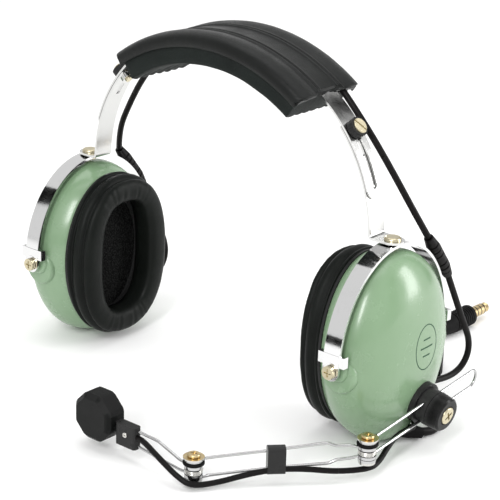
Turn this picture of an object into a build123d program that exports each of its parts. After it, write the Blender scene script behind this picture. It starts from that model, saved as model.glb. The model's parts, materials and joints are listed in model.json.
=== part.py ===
"""Aviation headset: two ear cups on a sprung headband, with a folding wire boom and a four-pole plug.

Frame: millimetres, +Z up, Z = 0 is the surface that the ear cups stand on, +X is the wearer's left
(the boom's side) and -Y is the wearer's front. The two sides mirror each other about X = 0.
"""

import os
from math import asin, cos, degrees, hypot, pi, radians, sin, tan

from build123d import *

os.makedirs("parts", exist_ok=True)

# ---------------------------------------------------------------- driving dimensions
HEAD_GAP = 156.0  # between the two ear seals' faces
CUP_HEIGHT = 106.0
CUP_WIDTH = 84.0
DOME_DEPTH = 22.0  # outboard of the stirrup's plane
NECK_DEPTH = 16.0  # inboard of it, down to the seal plate
SEAL_DEPTH = 15.2
PLATE = 1.6
WALL = 2.2
BAND_WIDTH = 12.7
BAND_T = 1.2
TOP_RADIUS = 112.0  # the spring's crown
SIDE_RADIUS = 88.0  # its two sides
CROWN_Z = 201.0
SIDE_START_X = 64.0  # where the crown meets a side
CORD_D = 3.6  # crossover cord
MIC_CABLE_D = 3.0
MAIN_CORD_D = 4.6
WIRE_D = 1.6
SHANK_D = 7.13  # a 0.281 inch four-pole plug
MIDDLE_X = 7.7  # middle of the headset's outline seen from above, its free cord left out
MIDDLE_Y = -23.0

# ---------------------------------------------------------------- places that follow from them
SEAL_X = HEAD_GAP / 2
PLATE_X = SEAL_X + SEAL_DEPTH  # inboard face of the seal plate
NECK_X = PLATE_X + PLATE
CUP_X = NECK_X + NECK_DEPTH  # the stirrup's plane, through the pivot screws
CUP_Z = CUP_HEIGHT / 2
HALF_B = CUP_WIDTH / 2
HALF_C = CUP_HEIGHT / 2
NARROWING_B = 6.5  # how much the neck is slimmer than the cup's middle
NARROWING_C = 5.0
SQUARENESS = 2.3  # 2 is an ellipse, more is boxier

CROWN_ANGLE = degrees(asin(SIDE_START_X / TOP_RADIUS))
TOP_Z = CROWN_Z - TOP_RADIUS
SIDE_X = SIDE_START_X - SIDE_RADIUS * sin(radians(CROWN_ANGLE))
SIDE_Z = TOP_Z + (TOP_RADIUS - SIDE_RADIUS) * cos(radians(CROWN_ANGLE))
JUNCTION = 90 - CROWN_ANGLE
SPRING_END = 14.5  # degrees above the side arc's centre
SCREW_ANGLE = 39.0
SLOT_LOW = 19.5
SLOT_HIGH = SCREW_ANGLE + 2.0
SLIDER_TOP = SCREW_ANGLE + 3.0
SLIDER_FOOT = 3.0  # where the slider's arc turns into its straight leg
SLIDER_R = SIDE_RADIUS - BAND_T - 0.3  # middle of the slider's thickness

PIVOT_Z = CUP_Z - 0.5
ARCH_Y = 48.1  # stirrup, outer half width
ARCH_Z = 57.7  # stirrup, outer rise above the pivots
STIRRUP_T = 1.5
STIRRUP_W = 10.0
FOOT_Z = PIVOT_Z + ARCH_Z + 0.3  # underside of the slider's foot


def save(piece, label):
    """Names a finished piece and writes its STEP file, in the frame centred under the headset."""
    placed = Pos(-MIDDLE_X, -MIDDLE_Y, 0) * piece
    placed.label = label
    export_step(placed, f"parts/{label}.step")


def save_pair(piece, label):
    """Writes a piece of the +X side and its mirror image on the -X side."""
    save(mirror(piece, about=Plane.YZ), "right_" + label)
    save(piece, "left_" + label)


def corner_radii(points, cap=1000.0):
    """The arc radius at each corner of a route: 0.45 of the shorter run over the tangent of half the turn."""
    radii = []
    for a, b, c in zip(points, points[1:], points[2:]):
        before = Vector(*b) - Vector(*a)
        after = Vector(*c) - Vector(*b)
        half_turn = radians(before.get_angle(after)) / 2
        radii.append(min(cap, 0.45 * min(before.length, after.length) / tan(half_turn)))
    return radii


def tube(points, diameter, radii=None, name=None):
    """A round tube along straight runs joined by tangent arcs."""
    radii = corner_radii(points) if radii is None else radii
    with BuildPart() as swept:
        with BuildLine() as route:
            FilletPolyline(*points, radius=radii)
        start = Plane(origin=route.line @ 0, z_dir=route.line % 0)
        with BuildSketch(start):
            Circle(diameter / 2)
        sweep(path=route.line)
    if name:
        length = sum(edge.length for edge in route.edges())
        expected = length * pi * diameter**2 / 4
        rounded = [round(r, 1) for r in radii]
        print(name, "length", round(length, 1), "radii", rounded)
        print("  volume over section times length", round(swept.part.volume / expected, 4))
    return swept.part


def radial_plane(angle, radius, side=1):
    """A plane across the band at an angle on its side arc, facing away from the head, x along the band."""
    a = radians(angle)
    origin = (side * (SIDE_X + radius * cos(a)), 0, SIDE_Z + radius * sin(a))
    return Plane(origin=origin, x_dir=(-side * sin(a), 0, cos(a)), z_dir=(side * cos(a), 0, sin(a)))


def cup_plane(x):
    """A plane across the ear cup at a distance from the symmetry plane, centred on the cup."""
    return Plane(origin=(x, 0, CUP_Z), x_dir=(0, 1, 0), z_dir=(1, 0, 0))


# ---------------------------------------------------------------- headband
def band_outline(inner, outer):
    """The spring's edge-on outline between two distances from its middle line."""
    spread = JUNCTION - SPRING_END
    for shift in (inner, outer):
        CenterArc((SIDE_X, SIDE_Z), SIDE_RADIUS + shift, SPRING_END, spread)
        CenterArc((0, TOP_Z), TOP_RADIUS + shift, JUNCTION, 2 * CROWN_ANGLE)
        CenterArc((-SIDE_X, SIDE_Z), SIDE_RADIUS + shift, 180 - JUNCTION, spread)
    for side in (1, -1):
        a = radians(SPRING_END)
        ends = [
            (side * (SIDE_X + (SIDE_RADIUS + shift) * cos(a)), SIDE_Z + (SIDE_RADIUS + shift) * sin(a))
            for shift in (inner, outer)
        ]
        Line(*ends)


with BuildPart() as headband_spring:
    with BuildSketch(Plane.XZ):
        with BuildLine():
            band_outline(-BAND_T / 2, BAND_T / 2)
        make_face()
    extrude(amount=BAND_WIDTH / 2, both=True)
    slot_run = radians(SLOT_HIGH - SLOT_LOW) * SIDE_RADIUS
    end_setback = degrees(BAND_WIDTH / 2 / SIDE_RADIUS)
    for side in (1, -1):
        with BuildSketch(radial_plane((SLOT_HIGH + SLOT_LOW) / 2, SIDE_RADIUS, side)):
            SlotCenterToCenter(slot_run, 4.8)
        extrude(amount=5, both=True, mode=Mode.SUBTRACT)
        with BuildSketch(radial_plane(SPRING_END + end_setback, SIDE_RADIUS, side)):
            Rectangle(BAND_WIDTH, BAND_WIDTH + 1, align=(Align.MAX, Align.CENTER))
            Circle(BAND_WIDTH / 2, mode=Mode.SUBTRACT)
        extrude(amount=3, both=True, mode=Mode.SUBTRACT)
save(headband_spring.part, "headband_spring")

COVER_WIDTH = 51.0
COVER_T = 2.0
LIP_DROP = 6.0
PAD_WIDTH = 46.0
PAD_T = 14.2
PAD_TOP = TOP_RADIUS - BAND_T / 2 - 0.1
COVER_UNDER = TOP_RADIUS + BAND_T / 2 + 0.3
PAD_ANGLE = CROWN_ANGLE - 0.8
TOP_CORD_R = PAD_TOP - CORD_D / 2
TOP_CORD_Y = 14.0


def crown_sector(inner, outer, half_angle):
    """Edge-on sector of the crown between two radii."""
    start = 90 - half_angle
    low = CenterArc((0, TOP_Z), inner, start, 2 * half_angle)
    high = CenterArc((0, TOP_Z), outer, start, 2 * half_angle)
    Line(low @ 0, high @ 0)
    Line(low @ 1, high @ 1)


with BuildPart() as headband_cover:
    with BuildSketch(Plane.XZ):
        with BuildLine():
            crown_sector(COVER_UNDER, COVER_UNDER + COVER_T, CROWN_ANGLE)
        make_face()
    extrude(amount=COVER_WIDTH / 2, both=True)
    for side in (1, -1):
        with BuildSketch(Plane.XZ.offset(side * (COVER_WIDTH / 2 - 0.75))):
            with BuildLine():
                crown_sector(COVER_UNDER - LIP_DROP, COVER_UNDER + COVER_T, CROWN_ANGLE)
            make_face()
        extrude(amount=0.75, both=True)
save(headband_cover.part, "headband_cover")

with BuildPart() as head_pad:
    with BuildSketch(Plane.XZ):
        with BuildLine():
            crown_sector(PAD_TOP - PAD_T, PAD_TOP, PAD_ANGLE)
        make_face()
    extrude(amount=PAD_WIDTH / 2, both=True)
    with BuildSketch(Plane.XZ.offset(-TOP_CORD_Y)):
        with BuildLine():
            crown_sector(TOP_CORD_R - CORD_D / 2 - 0.2, PAD_TOP + 1, PAD_ANGLE + 1)
        make_face()
    extrude(amount=CORD_D / 2 + 0.2, both=True, mode=Mode.SUBTRACT)
save(head_pad.part, "head_pad")

with BuildPart() as crossover_top:
    with BuildLine(Plane.XZ.offset(-TOP_CORD_Y)) as crown_route:
        CenterArc((0, TOP_Z), TOP_CORD_R, 90 - CROWN_ANGLE, 2 * CROWN_ANGLE)
    with BuildSketch(Plane(origin=crown_route.line @ 0, z_dir=crown_route.line % 0)):
        Circle(CORD_D / 2)
    sweep(path=crown_route.line)
save(crossover_top.part, "crossover_top")

# ---------------------------------------------------------------- slider, thumb screw and rivet
FOOT_END_X = CUP_X + BAND_WIDTH / 2
BOSS_R = 3.8
SCREW_R = 2.2

with BuildPart() as slider:
    with BuildSketch(Plane.XZ):
        with BuildLine():
            spread = SLIDER_TOP - SLIDER_FOOT
            low = CenterArc((SIDE_X, SIDE_Z), SLIDER_R - BAND_T / 2, SLIDER_FOOT, spread)
            high = CenterArc((SIDE_X, SIDE_Z), SLIDER_R + BAND_T / 2, SLIDER_FOOT, spread)
            Line(low @ 1, high @ 1)
            Polyline(
                low @ 0,
                ((low @ 0).X, FOOT_Z),
                (FOOT_END_X, FOOT_Z),
                (FOOT_END_X, FOOT_Z + BAND_T),
                ((high @ 0).X, FOOT_Z + BAND_T),
                high @ 0,
            )
        make_face()
    extrude(amount=BAND_WIDTH / 2, both=True)
    heel = slider.edges().filter_by(Axis.Y).group_by(Axis.Z)
    outer_heel = heel[0].sort_by(Axis.X)[0]
    inner_heel = heel[1].sort_by(Axis.X)[0]
    fillet(outer_heel, 2.4)
    fillet(inner_heel, 1.2)
    with BuildSketch(Plane.XY.offset(FOOT_Z)):
        with Locations((CUP_X, 0)):
            Rectangle(BAND_WIDTH, BAND_WIDTH + 1, align=(Align.MIN, Align.CENTER))
            Circle(BAND_WIDTH / 2, mode=Mode.SUBTRACT)
            Circle(2.0)
    extrude(amount=3, both=True, mode=Mode.SUBTRACT)
    with BuildSketch(radial_plane(SCREW_ANGLE, SLIDER_R - BAND_T / 2)):
        Circle(BOSS_R)
    extrude(amount=-1.3)
    with BuildSketch(radial_plane(SCREW_ANGLE, SLIDER_R)):
        Circle(SCREW_R + 0.1)
    extrude(amount=4, both=True, mode=Mode.SUBTRACT)
    with BuildSketch(radial_plane(SCREW_ANGLE - 6.5, SLIDER_R)):
        SlotCenterToCenter(6.0, 3.0)
    extrude(amount=3, both=True, mode=Mode.SUBTRACT)
save_pair(slider.part, "slider")

RING_R = 5.4
RING_LOW = SIDE_RADIUS + BAND_T / 2 + 0.3
RING_T = 4.2

with BuildPart() as thumb_ring:
    with BuildSketch(radial_plane(SCREW_ANGLE, RING_LOW)):
        Circle(RING_R)
        Circle(SCREW_R + 0.05, mode=Mode.SUBTRACT)
        with PolarLocations(RING_R + 0.15, 26):
            Circle(0.42, mode=Mode.SUBTRACT)
    extrude(amount=RING_T - 0.05)
save_pair(thumb_ring.part, "thumb_ring")

with BuildPart() as thumb_screw:
    with BuildSketch(radial_plane(SCREW_ANGLE, SLIDER_R - 2.9)):
        Circle(SCREW_R)
    extrude(amount=RING_LOW + RING_T - SLIDER_R + 2.9)
    with BuildSketch(radial_plane(SCREW_ANGLE, RING_LOW + RING_T)):
        Circle(4.2)
    extrude(amount=0.9)
    head = radial_plane(SCREW_ANGLE, RING_LOW)
    chamfer(thumb_screw.edges().filter_by(GeomType.CIRCLE).sort_by(Axis(head.origin, head.z_dir))[-1], 0.3)
    with BuildSketch(radial_plane(SCREW_ANGLE, RING_LOW + RING_T + 0.9)):
        Rectangle(10, 1.0, rotation=35)
    extrude(amount=-0.6, mode=Mode.SUBTRACT)
save_pair(thumb_screw.part, "thumb_screw")

RIVET_HEAD_Z = FOOT_Z + BAND_T
with BuildPart() as swivel_rivet:
    with BuildSketch(Plane(origin=(CUP_X, 0, FOOT_Z - STIRRUP_T - 1.6))):
        Circle(3.4)
    extrude(amount=0.9)
    with BuildSketch(Plane(origin=(CUP_X, 0, FOOT_Z - STIRRUP_T - 1.6))):
        Circle(2.0)
    extrude(amount=RIVET_HEAD_Z - FOOT_Z + STIRRUP_T + 1.6)
    with BuildSketch(Plane(origin=(CUP_X, 0, RIVET_HEAD_Z))):
        Circle(4.6)
    extrude(amount=1.7)
    fillet(swivel_rivet.edges().filter_by(GeomType.CIRCLE).sort_by(Axis.Z)[-1], 1.4)
save_pair(swivel_rivet.part, "swivel_rivet")

# ---------------------------------------------------------------- stirrup
PIVOT_R = 1.8
TAB_Z = PIVOT_Z + 6.5  # height of the side tabs' middle

with BuildPart() as stirrup:
    with BuildSketch(Plane(origin=(CUP_X, 0, PIVOT_Z), x_dir=(0, 1, 0), z_dir=(1, 0, 0))):
        Ellipse(ARCH_Y, ARCH_Z)
        Ellipse(ARCH_Y - STIRRUP_T, ARCH_Z - STIRRUP_T, mode=Mode.SUBTRACT)
        Rectangle(3 * ARCH_Y, 2 * ARCH_Z, align=(Align.CENTER, Align.MAX), mode=Mode.SUBTRACT)
    extrude(amount=STIRRUP_W / 2, both=True)
    for side in (1, -1):
        inner_y = side * (ARCH_Y - STIRRUP_T)
        arm_end = Plane(origin=(CUP_X, inner_y, PIVOT_Z), x_dir=(1, 0, 0), z_dir=(0, side, 0))
        with BuildSketch(arm_end):
            Circle(STIRRUP_W / 2)
            Rectangle(STIRRUP_W, 3, align=(Align.CENTER, Align.MIN if side < 0 else Align.MAX))
        extrude(amount=STIRRUP_T)
        with BuildSketch(arm_end):
            Circle(PIVOT_R + 0.1)
        extrude(amount=3, both=True, mode=Mode.SUBTRACT)
        tab = Plane(origin=(CUP_X, inner_y, TAB_Z), x_dir=(1, 0, 0), z_dir=(0, side, 0))
        with BuildSketch(tab):
            Rectangle(STIRRUP_W + 6.4, 6.0)
        extrude(amount=STIRRUP_T * 0.8)
        with BuildSketch(tab):
            with Locations((STIRRUP_W / 2 + 2.6, 0), (-STIRRUP_W / 2 - 2.6, 0)):
                Rectangle(1.2, 6.0)
        extrude(amount=-2.2)
    with BuildSketch(Plane(origin=(CUP_X, 0, PIVOT_Z + ARCH_Z))):
        Circle(2.1)
    extrude(amount=4, both=True, mode=Mode.SUBTRACT)
save_pair(stirrup.part, "stirrup")

with BuildPart() as pivot_screws:
    for side in (1, -1):
        seat = Plane(origin=(CUP_X, side * (ARCH_Y + 0.3), PIVOT_Z), x_dir=(1, 0, 0), z_dir=(0, side, 0))
        with BuildSketch(seat):
            Circle(3.6)
        extrude(amount=2.0)
        with BuildSketch(seat):
            Circle(PIVOT_R)
        extrude(amount=-8.0)
        with BuildSketch(seat.offset(2.0)):
            Rectangle(4.4, 0.9)
            Rectangle(0.9, 4.4)
        extrude(amount=-0.8, mode=Mode.SUBTRACT)
save_pair(pivot_screws.part, "pivot_screws")

# ---------------------------------------------------------------- ear cup
OUTER_STEPS = (0.0, 0.3, 0.55, 0.75, 0.88, 0.955, 0.992)


def cup_section(t, inset=0.0):
    """Half width and half height of the shell at t outboard of the stirrup's plane."""
    if t >= 0:
        shrink = (1 - (t / (DOME_DEPTH - inset)) ** SQUARENESS) ** (1 / SQUARENESS)
        return (HALF_B - inset) * shrink, (HALF_C - inset) * shrink
    q = (t / NECK_DEPTH) ** 2
    return HALF_B - NARROWING_B * q - inset, HALF_C - NARROWING_C * q - inset


def cup_solid(inset=0.0):
    """The shell's outer form, or with an inset its hollow."""
    stations = [-NECK_DEPTH, -0.62 * NECK_DEPTH, -0.3 * NECK_DEPTH]
    stations += [step * (DOME_DEPTH - inset) for step in OUTER_STEPS]
    with BuildPart() as solid:
        for t in stations:
            with BuildSketch(cup_plane(CUP_X + t)):
                Ellipse(*cup_section(t, inset))
        loft()
    return solid.part


# The boom's axis leaves the left cup low on its outer face, dipping a little.
BOOM_DIP = 9.0
WIRE_RISE = 6.7  # the hairpin climbs towards the back
BOOM_SEAT = (CUP_X + 18.3, 7.0, 24.5)
axis_x = cos(radians(BOOM_DIP))
axis_z = -sin(radians(BOOM_DIP))
rise_c = cos(radians(WIRE_RISE))
rise_s = sin(radians(WIRE_RISE))
boom = Plane(origin=BOOM_SEAT, x_dir=(-axis_z * rise_s, rise_c, axis_x * rise_s), z_dir=(axis_x, 0, axis_z))
BOOM_AXIS = Axis(BOOM_SEAT, boom.z_dir)
BASE_R = 11.5
KNOB_SCREW_R = 2.0

outer_form = cup_solid()
hollow = cup_solid(WALL)

with BuildPart() as plain_dome:
    add(outer_form)
    add(hollow, mode=Mode.SUBTRACT)
    with BuildSketch(cup_plane(CUP_X - NECK_DEPTH - 1)):
        Ellipse(HALF_B - NARROWING_B - WALL, HALF_C - NARROWING_C - WALL)
    extrude(amount=1.5, mode=Mode.SUBTRACT)
    for side in (1, -1):
        boss = Plane(origin=(CUP_X, side * (HALF_B + 2.4), PIVOT_Z), x_dir=(1, 0, 0), z_dir=(0, side, 0))
        with BuildSketch(boss):
            Circle(6.0)
        extrude(amount=-5.5)
        with BuildSketch(boss):
            Circle(PIVOT_R)
        extrude(amount=-9, mode=Mode.SUBTRACT)

with BuildPart() as seal_plate:
    with BuildSketch(cup_plane(PLATE_X)):
        Ellipse(HALF_B - NARROWING_B + 0.6, HALF_C - NARROWING_C + 0.6)
        Ellipse(21.5, 35.0, mode=Mode.SUBTRACT)
    extrude(amount=PLATE)
save_pair(seal_plate.part, "seal_plate")

SEAL_STEPS = ((0.0, 31.5, 44.5), (2.2, 34.0, 47.0), (6.0, 34.6, 47.6), (7.6, 36.2, 48.8), (13.0, 36.4, 49.0))
SEAL_OPENING = (19.5, 33.5)
with BuildPart() as ear_seal:
    for x, half_width, half_height in SEAL_STEPS + ((SEAL_DEPTH, 35.4, 48.4),):
        with BuildSketch(cup_plane(SEAL_X + x)):
            Ellipse(half_width, half_height)
    loft(ruled=True)
    with BuildSketch(cup_plane(SEAL_X)):
        Ellipse(*SEAL_OPENING)
    extrude(amount=SEAL_DEPTH, mode=Mode.SUBTRACT)
save_pair(ear_seal.part, "ear_seal")

FOAM_X = NECK_X
FOAM_T = 4.0
with BuildPart() as foam_liner:
    with BuildSketch(cup_plane(FOAM_X)):
        Ellipse(31.0, 43.0)
    extrude(amount=FOAM_T)
save_pair(foam_liner.part, "foam_liner")

SPEAKER_R = 19.0
with BuildPart() as earphone:
    with BuildSketch(cup_plane(FOAM_X + FOAM_T)):
        Circle(SPEAKER_R)
    extrude(amount=6.0)
    with BuildSketch(cup_plane(FOAM_X + FOAM_T + 6.0)):
        Circle(11.0)
    extrude(amount=4.0)
    chamfer(earphone.edges().filter_by(GeomType.CIRCLE).sort_by(Axis.X)[-1], 1.0)
save_pair(earphone.part, "earphone")

# ---------------------------------------------------------------- crossover cord outside the headband
RELIEF_TOP = (CUP_X + 3.4, 28.0, 106.6)
RELIEF_END = (CUP_X + 3.4, 49.0, 80.6)
relief_axis = Vector(*RELIEF_END) - Vector(*RELIEF_TOP)
crown_a = radians(JUNCTION)
COVER_EXIT = (TOP_CORD_R * cos(crown_a) + 0.3, TOP_CORD_Y, TOP_Z + TOP_CORD_R * sin(crown_a) - 0.2)

upper_route = [
    COVER_EXIT,
    (82.0, 15.0, 160.0),
    (96.0, 18.0, 140.5),
    (108.0, 21.5, 121.5),
    RELIEF_TOP,
]
CUP_ENTRY = (CUP_X + 1.0, 31.5, 20.5)
lower_route = [
    RELIEF_END,
    (115.5, 56.0, 66.0),
    (116.0, 64.5, 50.0),
    (116.5, 72.0, 37.5),
    (116.0, 73.5, 27.5),
    (115.0, 69.0, 20.0),
    (114.0, 60.5, 17.2),
    (113.0, 48.0, 18.0),
    CUP_ENTRY,
]
crossover_upper = tube(upper_route, CORD_D, name="crossover_upper")
crossover_lower = tube(lower_route, CORD_D, name="crossover_lower")
save_pair(crossover_upper, "crossover_upper")
save_pair(crossover_lower, "crossover_lower")

with BuildPart() as strain_relief:
    relief_plane = Plane(origin=RELIEF_TOP, z_dir=relief_axis)
    for share, radius in ((0.0, 2.6), (0.25, 3.9), (0.75, 3.9), (1.0, 2.6)):
        with BuildSketch(relief_plane.offset(share * relief_axis.length)):
            Circle(radius)
    loft(ruled=True)
    for share in (0.16, 0.28, 0.40, 0.60, 0.72, 0.84):
        with BuildSketch(relief_plane.offset(share * relief_axis.length)):
            Circle(5)
            Circle(3.1, mode=Mode.SUBTRACT)
        extrude(amount=0.9, mode=Mode.SUBTRACT)
    with BuildSketch(relief_plane):
        Circle(CORD_D / 2)
    extrude(amount=relief_axis.length, mode=Mode.SUBTRACT)
    for neighbour in (stirrup.part, crossover_upper, crossover_lower):
        add(neighbour, mode=Mode.SUBTRACT)
save_pair(strain_relief.part, "strain_relief")

with BuildPart() as right_dome:
    add(plain_dome.part)
    add(crossover_lower, mode=Mode.SUBTRACT)
save(mirror(right_dome.part, about=Plane.YZ), "right_dome")

# ---------------------------------------------------------------- boom clamp and knob
CLAMP_LOW = 4.5
CLAMP_HIGH = 10.5
WIRE_LEVEL = (CLAMP_LOW + CLAMP_HIGH) / 2
CAP_LOW = CLAMP_HIGH + 0.3
CAP_HIGH = 18.5
CLAMP_R = 9.8
HAIRPIN_HALF = 5.4

with BuildPart() as boom_base:
    with BuildSketch(boom.offset(-4)):
        Circle(BASE_R)
        Circle(KNOB_SCREW_R + 0.1, mode=Mode.SUBTRACT)
    extrude(amount=CLAMP_LOW + 3.7)
    chamfer(boom_base.edges().filter_by(GeomType.CIRCLE).sort_by(BOOM_AXIS)[-1], 0.6)
save(boom_base.part, "boom_base")

with BuildPart() as boom_clamp:
    with BuildSketch(boom.offset(CLAMP_LOW)):
        Circle(CLAMP_R)
        Circle(KNOB_SCREW_R + 0.1, mode=Mode.SUBTRACT)
    extrude(amount=CLAMP_HIGH - CLAMP_LOW)
    bore_start = Plane(
        origin=boom.from_local_coords((-15, 0, WIRE_LEVEL)), x_dir=boom.y_dir, z_dir=boom.x_dir
    )
    with BuildSketch(bore_start):
        with Locations((HAIRPIN_HALF, 0), (-HAIRPIN_HALF, 0)):
            Circle(WIRE_D / 2 + 0.1)
    extrude(amount=30, mode=Mode.SUBTRACT)
save(boom_clamp.part, "boom_clamp")

with BuildPart() as boom_knob:
    for level, radius in ((CAP_LOW, CLAMP_R), (CAP_HIGH - 1.0, CLAMP_R - 0.5), (CAP_HIGH, CLAMP_R - 1.5)):
        with BuildSketch(boom.offset(level)):
            Circle(radius)
    loft(ruled=True)
    with BuildSketch(boom.offset(CAP_HIGH)):
        Circle(5.2)
    extrude(amount=-1.4, mode=Mode.SUBTRACT)
    with BuildSketch(boom.offset(CAP_LOW)):
        Circle(KNOB_SCREW_R)
    extrude(amount=CAP_HIGH - CAP_LOW, mode=Mode.SUBTRACT)
save(boom_knob.part, "boom_knob")

with BuildPart() as knob_screw:
    with BuildSketch(boom.offset(-5)):
        Circle(KNOB_SCREW_R)
    extrude(amount=CAP_HIGH + 3.6)
    with BuildSketch(boom.offset(CAP_HIGH - 1.4)):
        Circle(4.8)
    extrude(amount=2.2)
    fillet(knob_screw.edges().filter_by(GeomType.CIRCLE).sort_by(BOOM_AXIS)[-1], 0.9)
    with BuildSketch(boom.offset(CAP_HIGH + 0.9)):
        Rectangle(5.6, 1.1, rotation=20)
        Rectangle(1.1, 5.6, rotation=20)
    extrude(amount=-1.3, mode=Mode.SUBTRACT)
save(knob_screw.part, "knob_screw")

# ---------------------------------------------------------------- elbows
EYE_R = 4.7
EYE_T = 1.5
ELBOW_PIN_R = 2.0
PIN_FREE = ELBOW_PIN_R + 0.1
# How far below the top of the screw's head each layer starts and ends.
HEAD = (0.0, 1.8)
WASHER = (1.8, 2.6)
EYE_A = (2.6, 4.1)
RUBBER = (4.1, 5.9)
EYE_B = (6.2, 7.7)
SPRING = (7.7, 11.1)
EYE_C = (11.1, 12.6)
EYE_D = (12.9, 14.4)
NUT = (14.4, 15.6)
ELBOW_DROP = 53.9  # along the hairpin from the boom's axis to the first elbow
SECOND_ELBOW = (76.0, -111.0)
FOOT_TIP = 2.0  # the second elbow's rounded end nut reaches the floor

first = boom.from_local_coords((-ELBOW_DROP, 0, WIRE_LEVEL))
FIRST_ELBOW = (first.X, first.Y)
FIRST_TOP = first.Z + (EYE_A[0] + EYE_D[1]) / 2
SECOND_TOP = NUT[1] + FOOT_TIP


def middle(layer):
    """The middle of an elbow's layer, measured down from the top."""
    return (layer[0] + layer[1]) / 2


def disc(place, top, layer, radius, hole=0.0, rounding=0.0):
    """A washer-shaped layer of an elbow, its outer edges rounded if asked."""
    with BuildPart() as ring:
        with BuildSketch(Plane(origin=(place[0], place[1], top - layer[1]))):
            Circle(radius)
        extrude(amount=layer[1] - layer[0])
        if rounding:
            fillet(ring.edges().filter_by(GeomType.CIRCLE), rounding)
        if hole:
            with BuildSketch(Plane(origin=(place[0], place[1], top - layer[1] - 1))):
                Circle(hole)
            extrude(amount=layer[1] - layer[0] + 2, mode=Mode.SUBTRACT)
    return ring.part


def elbow(place, top, name, tip=0.0):
    """An elbow's screw with its washer and nut, its rubber washer and its wound spring."""
    with BuildPart() as hardware:
        add(disc(place, top, HEAD, 3.4, rounding=0.8))
        add(disc(place, top, WASHER, 5.5))
        add(disc(place, top, (HEAD[1], NUT[0]), ELBOW_PIN_R))
        add(disc(place, top, NUT, 4.4))
        if tip:
            add(disc(place, top, (NUT[0], NUT[1] + tip), 2.9, rounding=1.0))
        with BuildSketch(Plane(origin=(place[0], place[1], top))):
            Rectangle(3.6, 0.8, rotation=30)
            Rectangle(0.8, 3.6, rotation=30)
        extrude(amount=-0.8, mode=Mode.SUBTRACT)
    save(hardware.part, name + "_screw")
    save(disc(place, top, RUBBER, 5.6, ELBOW_PIN_R, 0.6), name + "_rubber")
    turns = 2
    pitch = (SPRING[1] - SPRING[0]) / turns
    with BuildPart() as spring:
        for turn in range(turns):
            layer = (SPRING[0] + turn * pitch, SPRING[0] + (turn + 1) * pitch)
            add(disc(place, top, layer, 4.9, PIN_FREE, 0.7))
    save(spring.part, name + "_spring")


elbow(FIRST_ELBOW, FIRST_TOP, "first_elbow")
elbow(SECOND_ELBOW, SECOND_TOP, "second_elbow", FOOT_TIP)


def eye(place, top, layer, hole):
    """The flat eye at a boom wire's end, around an elbow's pin."""
    return disc(place, top, layer, EYE_R, hole)


def flatten_for(place, top, layer):
    """What is taken off a round wire so that it lies within its own layer of an elbow."""
    with BuildPart() as taken:
        add(disc(place, top, (layer[0] - 3, layer[0]), 6.2))
        add(disc(place, top, (layer[1], layer[1] + 3), 6.2))
        add(disc(place, top, layer, EYE_R - 0.5))
    return taken.part


EYE_MIDDLE = (ELBOW_PIN_R + EYE_R) / 2

# ---------------------------------------------------------------- boom wires
HAIRPIN_BACK = 41.5
hairpin_route = [
    tuple(boom.from_local_coords((x, y, WIRE_LEVEL)))
    for x, y in (
        (-ELBOW_DROP + EYE_MIDDLE, HAIRPIN_HALF),
        (HAIRPIN_BACK, HAIRPIN_HALF),
        (HAIRPIN_BACK, -HAIRPIN_HALF),
        (-ELBOW_DROP + EYE_MIDDLE, -HAIRPIN_HALF),
    )
]
with BuildPart() as rear_boom_wire:
    add(tube(hairpin_route, WIRE_D, radii=[HAIRPIN_HALF - 0.2] * 2))
    add(disc(FIRST_ELBOW, FIRST_TOP, (EYE_A[0] - 3, EYE_A[0]), 6.2), mode=Mode.SUBTRACT)
    add(disc(FIRST_ELBOW, FIRST_TOP, (EYE_A[1], EYE_D[0]), 6.2), mode=Mode.SUBTRACT)
    add(disc(FIRST_ELBOW, FIRST_TOP, (EYE_D[1], EYE_D[1] + 3), 6.2), mode=Mode.SUBTRACT)
    add(disc(FIRST_ELBOW, FIRST_TOP, (EYE_A[0], EYE_D[1]), EYE_R - 0.5), mode=Mode.SUBTRACT)
    add(eye(FIRST_ELBOW, FIRST_TOP, EYE_A, ELBOW_PIN_R))
    add(eye(FIRST_ELBOW, FIRST_TOP, EYE_D, ELBOW_PIN_R))
save(rear_boom_wire.part, "rear_boom_wire")

span = (SECOND_ELBOW[0] - FIRST_ELBOW[0], SECOND_ELBOW[1] - FIRST_ELBOW[1])
SPAN = hypot(*span)
ALONG = (span[0] / SPAN, span[1] / SPAN)
ASIDE = (-ALONG[1], ALONG[0])


def on_span(s, z, aside=0.0):
    """A point s along the middle boom from the first elbow, at height z."""
    x = FIRST_ELBOW[0] + s * ALONG[0] + aside * ASIDE[0]
    y = FIRST_ELBOW[1] + s * ALONG[1] + aside * ASIDE[1]
    return (x, y, z)


def middle_wire(from_layer, to_layer, heights):
    """One of the middle boom's two wires, an eye at each end."""
    route = [on_span(EYE_MIDDLE, FIRST_TOP - middle(from_layer))]
    route += [on_span(s, z) for s, z in heights]
    route += [on_span(SPAN - EYE_MIDDLE, SECOND_TOP - middle(to_layer))]
    with BuildPart() as wire:
        add(tube(route, WIRE_D, radii=corner_radii(route, 9.0)))
        add(flatten_for(FIRST_ELBOW, FIRST_TOP, from_layer), mode=Mode.SUBTRACT)
        add(flatten_for(SECOND_ELBOW, SECOND_TOP, to_layer), mode=Mode.SUBTRACT)
        add(eye(FIRST_ELBOW, FIRST_TOP, from_layer, PIN_FREE))
        add(eye(SECOND_ELBOW, SECOND_TOP, to_layer, ELBOW_PIN_R))
    return wire.part


upper_wire = middle_wire(EYE_B, EYE_A, ((9, 19.8), (16.5, 19.7), (20, 21.4), (48, 18.2), (80, 14.9)))
lower_wire = middle_wire(EYE_C, EYE_D, ((9, 12.6), (15.5, 12.0), (19.5, 10.0), (48, 8.4), (80, 5.1)))
with BuildPart() as middle_boom_wires:
    add(upper_wire)
    add(lower_wire)
save(middle_boom_wires.part, "middle_boom_wires")

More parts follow.
